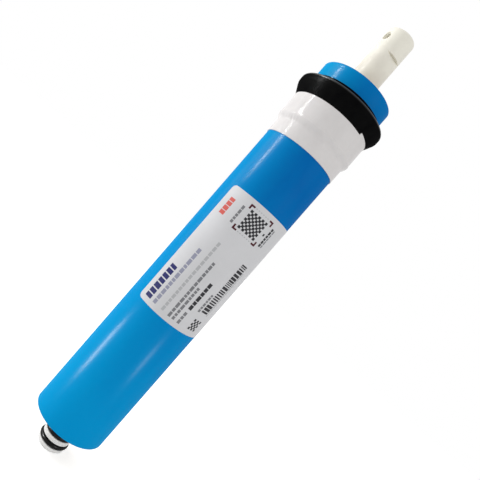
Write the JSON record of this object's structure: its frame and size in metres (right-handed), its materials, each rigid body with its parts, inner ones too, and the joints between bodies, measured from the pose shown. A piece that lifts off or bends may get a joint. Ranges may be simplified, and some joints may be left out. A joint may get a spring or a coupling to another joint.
{
  "type": "reverse osmosis membrane element",
  "caption": "Small spiral-wound reverse-osmosis element with a two-ring product-water spigot, a cup-shaped brine seal held by white tape, and a closed feed-end stub.",
  "frame": {"origin": "centre of the open end of the product-water spigot, on the element's own axis", "axes": "+Z runs along the element's axis from the product-water spigot to the closed feed-end stub; the label faces -Y"},
  "size_m": [0.055, 0.055, 0.298],
  "materials": {
    "tube_plastic": "satin ivory moulded polymer",
    "ring_rubber": "lightly greased black rubber",
    "seal_rubber": "smooth black rubber",
    "carrier_cloth": "white knitted polyester, stiff with cured adhesive at its edges",
    "membrane_film": "off-white coated film",
    "spacer_net": "translucent white net",
    "wrap_film": "semi-gloss blue film",
    "tape_vinyl": "semi-gloss white vinyl",
    "label_film": "satin white film with grey and blue print fields"
  },
  "bodies": {
    "root": {"permeate_tube": "tube_plastic", "o_ring_outer": "ring_rubber", "o_ring_inner": "ring_rubber", "permeate_carrier": "carrier_cloth", "membrane_sheet": "membrane_film", "feed_spacer": "spacer_net", "outer_wrap": "wrap_film", "brine_seal": "seal_rubber", "seal_tape": "tape_vinyl", "label": "label_film"}
  },
  "joints": []
}
